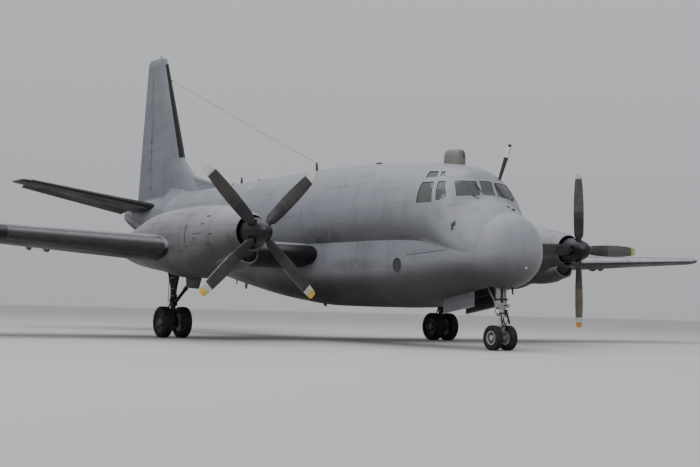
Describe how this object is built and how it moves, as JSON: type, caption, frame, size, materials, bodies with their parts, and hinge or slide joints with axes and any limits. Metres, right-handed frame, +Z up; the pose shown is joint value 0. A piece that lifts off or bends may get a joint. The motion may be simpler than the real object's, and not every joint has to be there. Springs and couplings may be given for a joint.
{
  "type": "twin-turboprop military transport plane",
  "caption": "Unarmed military transport plane with turning propellers, wheels, nose steering, control surfaces, flaps and gear bay doors, parked on its landing gear.",
  "frame": {"origin": "on the ground, under the middle of the bounding box", "axes": "+X to port along the span, +Y aft along the fuselage, +Z up"},
  "size_m": [36.68, 26.8561, 11.36],
  "materials": {
    "airframe_paint": "satin",
    "radome_paint": "satin",
    "glazing": "gloss",
    "interior": "matte",
    "bay_lining": "matte",
    "engine_casing": "matte",
    "propeller_paint": "satin",
    "spinner_paint": "satin",
    "gear_paint": "satin",
    "gear_silver": "satin",
    "rim_dark": "satin",
    "rim_pale": "satin",
    "tyre_rubber": "matte",
    "pod_paint": "satin",
    "mast_paint": "satin"
  },
  "bodies": {
    "airframe": {"nose_radome": "radome_paint", "forward_fuselage": "airframe_paint", "cockpit_glazing": "glazing", "cockpit_deck": "bay_lining", "seat_port": "interior", "seat_starboard": "interior", "nose_gear_bay": "bay_lining", "centre_fuselage": "airframe_paint", "rear_fuselage": "airframe_paint", "tail_cone": "airframe_paint", "fin": "airframe_paint", "tailplane_port": "airframe_paint", "tailplane_starboard": "airframe_paint", "wing_inner_port": "airframe_paint", "wing_inner_starboard": "airframe_paint", "wing_outer_port": "airframe_paint", "wing_outer_starboard": "airframe_paint", "nacelle_port": "airframe_paint", "nacelle_starboard": "airframe_paint", "engine_port": "engine_casing", "engine_starboard": "engine_casing", "main_leg_port": "gear_paint", "main_leg_starboard": "gear_paint", "nose_leg": "gear_silver", "dorsal_pod": "pod_paint", "mast_antenna": "mast_paint"},
    "rudder": {"rudder": "airframe_paint"},
    "propeller_port": {"propeller_port": "propeller_paint", "spinner_port": "spinner_paint"},
    "main_wheels_port": {"main_wheels_port": "rim_dark", "main_tyre_inner_port": "tyre_rubber", "main_tyre_outer_port": "tyre_rubber"},
    "propeller_starboard": {"propeller_starboard": "propeller_paint", "spinner_starboard": "spinner_paint"},
    "main_wheels_starboard": {"main_wheels_starboard": "rim_dark", "main_tyre_inner_starboard": "tyre_rubber", "main_tyre_outer_starboard": "tyre_rubber"},
    "nose_fork": {"nose_fork": "gear_silver"},
    "nose_wheels": {"nose_wheels": "rim_pale", "nose_tyre_port": "tyre_rubber", "nose_tyre_starboard": "tyre_rubber"},
    "elevator_port": {"elevator_port": "airframe_paint"},
    "elevator_starboard": {"elevator_starboard": "airframe_paint"},
    "aileron_port": {"aileron_port": "airframe_paint"},
    "aileron_starboard": {"aileron_starboard": "airframe_paint"},
    "flap_inner_port": {"flap_inner_port": "airframe_paint"},
    "flap_outer_port": {"flap_outer_port": "airframe_paint"},
    "flap_inner_starboard": {"flap_inner_starboard": "airframe_paint"},
    "flap_outer_starboard": {"flap_outer_starboard": "airframe_paint"},
    "nose_bay_door_port": {"nose_bay_door_port": "airframe_paint"},
    "nose_bay_door_starboard": {"nose_bay_door_starboard": "airframe_paint"},
    "main_bay_door_inner_port": {"main_bay_door_inner_port": "gear_paint"},
    "main_bay_door_outer_port": {"main_bay_door_outer_port": "gear_paint"},
    "main_bay_door_inner_starboard": {"main_bay_door_inner_starboard": "gear_paint"},
    "main_bay_door_outer_starboard": {"main_bay_door_outer_starboard": "gear_paint"}
  },
  "joints": [
    {"name": "rudder_turn", "type": "hinge", "parent": "airframe", "child": "rudder", "pos_m": [0, 10.648, 8], "axis": [0, 0, 1], "range_deg": [-25, 25]},
    {"name": "propeller_port_spin", "type": "hinge", "parent": "airframe", "child": "propeller_port", "pos_m": [5.75, -9.196, 3.06], "axis": [0, -1, 0], "continuous": true},
    {"name": "main_wheels_port_roll", "type": "hinge", "parent": "airframe", "child": "main_wheels_port", "pos_m": [5.2, -2.672, 0.484], "axis": [1, 0, 0], "continuous": true},
    {"name": "propeller_starboard_spin", "type": "hinge", "parent": "airframe", "child": "propeller_starboard", "pos_m": [-5.75, -9.196, 3.06], "axis": [0, -1, 0], "continuous": true},
    {"name": "main_wheels_starboard_roll", "type": "hinge", "parent": "airframe", "child": "main_wheels_starboard", "pos_m": [-5.2, -2.672, 0.484], "axis": [1, 0, 0], "continuous": true},
    {"name": "nose_steer", "type": "hinge", "parent": "airframe", "child": "nose_fork", "pos_m": [0, -12.442, 1.13], "axis": [0, 0, 1], "range_deg": [-60, 60]},
    {"name": "nose_wheels_roll", "type": "hinge", "parent": "nose_fork", "child": "nose_wheels", "pos_m": [0, -12.442, 0.342], "axis": [1, 0, 0], "continuous": true},
    {"name": "elevator_port_turn", "type": "hinge", "parent": "airframe", "child": "elevator_port", "pos_m": [3.5, 10.712, 5.385], "axis": [0.9822, 0.0859, 0.167], "range_deg": [0, 37]},
    {"name": "elevator_starboard_turn", "type": "hinge", "parent": "airframe", "child": "elevator_starboard", "pos_m": [-3.5, 10.712, 5.385], "axis": [0.9822, -0.0859, -0.167], "range_deg": [0, 37]},
    {"name": "aileron_port_turn", "type": "hinge", "parent": "airframe", "child": "aileron_port", "pos_m": [14, -1.2029, 3.1125], "axis": [0.9984, 0.0251, 0.0499], "range_deg": [-20, 20]},
    {"name": "aileron_starboard_turn", "type": "hinge", "parent": "airframe", "child": "aileron_starboard", "pos_m": [-14, -1.2029, 3.1125], "axis": [0.9984, -0.0251, -0.0499], "range_deg": [-20, 20]},
    {"name": "flap_inner_port_turn", "type": "hinge", "parent": "airframe", "child": "flap_inner_port", "pos_m": [3.3, -1.41, 2.7], "axis": [-1, 0, 0], "range_deg": [0, 35]},
    {"name": "flap_outer_port_turn", "type": "hinge", "parent": "airframe", "child": "flap_outer_port", "pos_m": [9, -1.3284, 2.8625], "axis": [-0.9984, -0.0251, -0.0499], "range_deg": [0, 35]},
    {"name": "flap_inner_starboard_turn", "type": "hinge", "parent": "airframe", "child": "flap_inner_starboard", "pos_m": [-3.3, -1.41, 2.7], "axis": [-1, 0, 0], "range_deg": [0, 35]},
    {"name": "flap_outer_starboard_turn", "type": "hinge", "parent": "airframe", "child": "flap_outer_starboard", "pos_m": [-9, -1.3284, 2.8625], "axis": [-0.9984, 0.0251, 0.0499], "range_deg": [0, 35]},
    {"name": "nose_bay_door_port_swing", "type": "hinge", "parent": "airframe", "child": "nose_bay_door_port", "pos_m": [0.415, -11.077, 1.475], "axis": [0, 0.9884, -0.1521], "range_deg": [0, 85]},
    {"name": "nose_bay_door_starboard_swing", "type": "hinge", "parent": "airframe", "child": "nose_bay_door_starboard", "pos_m": [-0.415, -11.077, 1.475], "axis": [0, -0.9884, 0.1521], "range_deg": [0, 85]},
    {"name": "main_bay_door_inner_port_swing", "type": "hinge", "parent": "airframe", "child": "main_bay_door_inner_port", "pos_m": [5.095, -5.137, 2.18], "axis": [0, -1, 0], "range_deg": [0, 60]},
    {"name": "main_bay_door_outer_port_swing", "type": "hinge", "parent": "airframe", "child": "main_bay_door_outer_port", "pos_m": [5.726, -5.137, 1.886], "axis": [0, 0.9977, 0.0671], "range_deg": [0, 80]},
    {"name": "main_bay_door_inner_starboard_swing", "type": "hinge", "parent": "airframe", "child": "main_bay_door_inner_starboard", "pos_m": [-5.095, -5.137, 2.18], "axis": [0, 1, 0], "range_deg": [0, 60]},
    {"name": "main_bay_door_outer_starboard_swing", "type": "hinge", "parent": "airframe", "child": "main_bay_door_outer_starboard", "pos_m": [-5.726, -5.137, 1.886], "axis": [0, -0.9977, -0.0671], "range_deg": [0, 80]}
  ],
  "couplings": [
    {"joint": "elevator_starboard_turn", "follows": "elevator_port_turn", "ratio": 1},
    {"joint": "aileron_starboard_turn", "follows": "aileron_port_turn", "ratio": -1},
    {"joint": "flap_inner_starboard_turn", "follows": "flap_inner_port_turn", "ratio": 1},
    {"joint": "flap_outer_port_turn", "follows": "flap_inner_port_turn", "ratio": 1},
    {"joint": "flap_outer_starboard_turn", "follows": "flap_inner_port_turn", "ratio": 1},
    {"joint": "nose_bay_door_starboard_swing", "follows": "nose_bay_door_port_swing", "ratio": 1},
    {"joint": "main_bay_door_outer_port_swing", "follows": "main_bay_door_inner_port_swing", "ratio": 1.3333},
    {"joint": "main_bay_door_outer_starboard_swing", "follows": "main_bay_door_inner_starboard_swing", "ratio": 1.3333}
  ]
}
